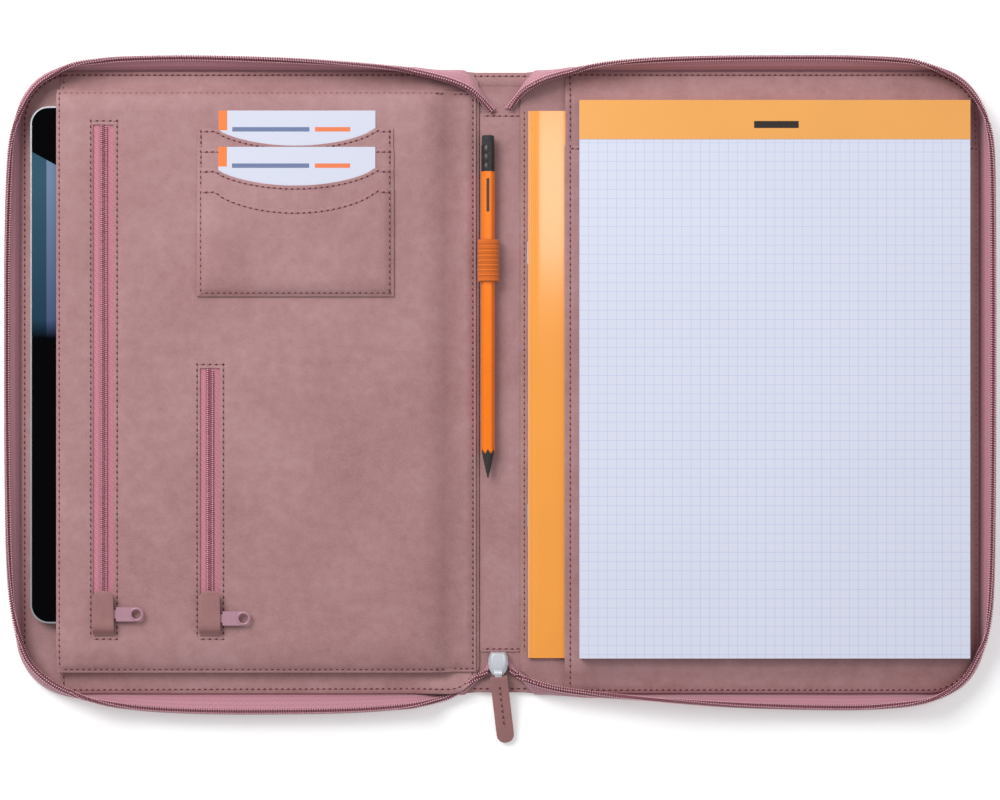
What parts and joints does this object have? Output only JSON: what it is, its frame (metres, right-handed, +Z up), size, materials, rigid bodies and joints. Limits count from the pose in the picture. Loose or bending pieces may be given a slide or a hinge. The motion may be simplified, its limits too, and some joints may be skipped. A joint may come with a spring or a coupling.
{
  "type": "portfolio case",
  "caption": "Zip-around leatherette portfolio case lying open, with tablet pocket, zip pouch, card slots, pen loop and a writing pad; covers fold and contents slide out.",
  "frame": {"origin": "middle of the spine's outer face, which lies on the table", "axes": "+Z up, +Y towards the top of the pad, +X towards the pad side"},
  "size_m": [0.5394, 0.3731, 0.0177],
  "materials": {
    "leather": "pink-brown grained leatherette",
    "leather_dark": "darker grained leatherette",
    "board": "grey-brown pressed board",
    "zip_tape": "dusty pink woven tape",
    "zip_coil": "rose nylon coil",
    "elastic": "orange ribbed elastic",
    "slider_metal": "polished plated metal",
    "pouch_metal": "rose painted metal",
    "puller_metal": "lilac-pink painted metal",
    "tablet_metal": "satin aluminium",
    "tablet_glass": "black glass front",
    "paper": "paper with a fine printed grid",
    "pad_orange": "orange coated card",
    "grey_card": "grey card",
    "booklet_orange": "glossy orange coated card",
    "staple_wire": "steel wire",
    "card": "pale card with an orange corner block",
    "pencil_paint": "orange varnished wood, black point",
    "graphite": "graphite",
    "pencil_black": "black ferrule",
    "eraser": "dark grey eraser"
  },
  "bodies": {
    "spine": {"spine_outer_skin": "leather", "spine_board": "board", "spine_lining": "leather", "spine_facing_top": "leather_dark", "spine_facing_bottom": "leather_dark", "left_fold_skin": "leather", "right_fold_skin": "leather", "left_fold_lining": "leather", "right_fold_lining": "leather", "pen_loop": "elastic", "zip_end_top_left": "zip_tape", "zip_end_top_right": "zip_tape", "zip_end_bottom_left": "zip_tape", "zip_end_bottom_right": "zip_tape", "main_zip_slider": "slider_metal"},
    "right_cover": {"right_outer_skin": "leather", "right_board": "board", "right_lining": "leather", "right_pad_panel": "leather", "pad_pocket_front": "leather", "right_zip_tape": "zip_tape", "right_zip_coil": "zip_coil"},
    "left_cover": {"left_outer_skin": "leather", "left_board": "board", "left_lining": "leather", "tablet_pocket_front": "leather", "pouch_back": "leather_dark", "pouch_front": "leather", "long_zip_tape": "zip_tape", "long_zip_coil": "zip_coil", "long_zip_garage": "leather_dark", "short_zip_tape": "zip_tape", "short_zip_coil": "zip_coil", "short_zip_garage": "leather_dark", "card_slot_a": "leather", "card_slot_b": "leather", "card_slot_c": "leather", "card_slot_d": "leather", "left_zip_tape": "zip_tape", "left_zip_coil": "zip_coil"},
    "main_pull": {"main_pull_link": "slider_metal", "main_pull_strap": "leather_dark"},
    "long_slider": {"long_zip_slider": "pouch_metal"},
    "long_puller": {"long_zip_puller": "puller_metal"},
    "short_slider": {"short_zip_slider": "pouch_metal"},
    "short_puller": {"short_zip_puller": "puller_metal"},
    "tablet": {"tablet_body": "tablet_metal", "tablet_glass": "tablet_glass"},
    "pad": {"pad_sheets": "paper", "pad_header": "pad_orange", "pad_back_board": "grey_card"},
    "booklet": {"booklet_cover": "booklet_orange", "booklet_pages": "paper", "booklet_staples": "staple_wire"},
    "pencil": {"pencil_body": "pencil_paint", "pencil_lead": "graphite", "pencil_ferrule": "pencil_black", "pencil_eraser": "eraser"},
    "upper_card": {"card_upper": "card"},
    "lower_card": {"card_lower": "card"}
  },
  "joints": [
    {"name": "left_fold", "type": "hinge", "parent": "spine", "child": "left_cover", "pos_m": [-0.015, 0, 0.0035], "axis": [0, 1, 0], "range_deg": [0, 90], "deforming": ["left_fold_skin", "left_fold_lining", "zip_end_top_left", "zip_end_bottom_left"]},
    {"name": "right_fold", "type": "hinge", "parent": "spine", "child": "right_cover", "pos_m": [0.015, 0, 0.0035], "axis": [0, -1, 0], "range_deg": [0, 90], "deforming": ["right_fold_skin", "right_fold_lining", "zip_end_top_right", "zip_end_bottom_right"]},
    {"name": "main_pull_lift", "type": "hinge", "parent": "spine", "child": "main_pull", "pos_m": [-0.001, -0.157, 0.0094], "axis": [-1, 0, 0], "range_deg": [0, 110]},
    {"name": "long_zip_run", "type": "slide", "parent": "left_cover", "child": "long_slider", "axis": [0, 1, 0], "range_m": [0, 0.245]},
    {"name": "long_puller_swing", "type": "hinge", "parent": "long_slider", "child": "long_puller", "pos_m": [-0.2132, -0.1246, 0.0163], "axis": [0, 0, 1], "range_deg": [0, 90]},
    {"name": "short_zip_run", "type": "slide", "parent": "left_cover", "child": "short_slider", "axis": [0, 1, 0], "range_m": [0, 0.125]},
    {"name": "short_puller_swing", "type": "hinge", "parent": "short_slider", "child": "short_puller", "pos_m": [-0.156, -0.1268, 0.0163], "axis": [0, 0, 1], "range_deg": [0, 90]},
    {"name": "tablet_pull_out", "type": "slide", "parent": "left_cover", "child": "tablet", "axis": [-1, 0, 0], "range_m": [0, 0.24], "deforming": ["left_zip_tape", "left_zip_coil"]},
    {"name": "pad_pull_out", "type": "slide", "parent": "right_cover", "child": "pad", "axis": [0, 1, 0], "range_m": [0, 0.34], "deforming": ["right_zip_tape", "right_zip_coil"]},
    {"name": "booklet_shift", "type": "slide", "parent": "right_cover", "child": "booklet", "axis": [1, 0, 0], "range_m": [-0.009, 0.018]},
    {"name": "pencil_pull_out", "type": "slide", "parent": "spine", "child": "pencil", "axis": [0, -1, 0], "range_m": [0, 0.082]},
    {"name": "upper_card_lift", "type": "slide", "parent": "left_cover", "child": "upper_card", "axis": [0, 1, 0], "range_m": [0, 0.098]},
    {"name": "lower_card_lift", "type": "slide", "parent": "left_cover", "child": "lower_card", "axis": [0, 1, 0], "range_m": [0, 0.118]}
  ]
}
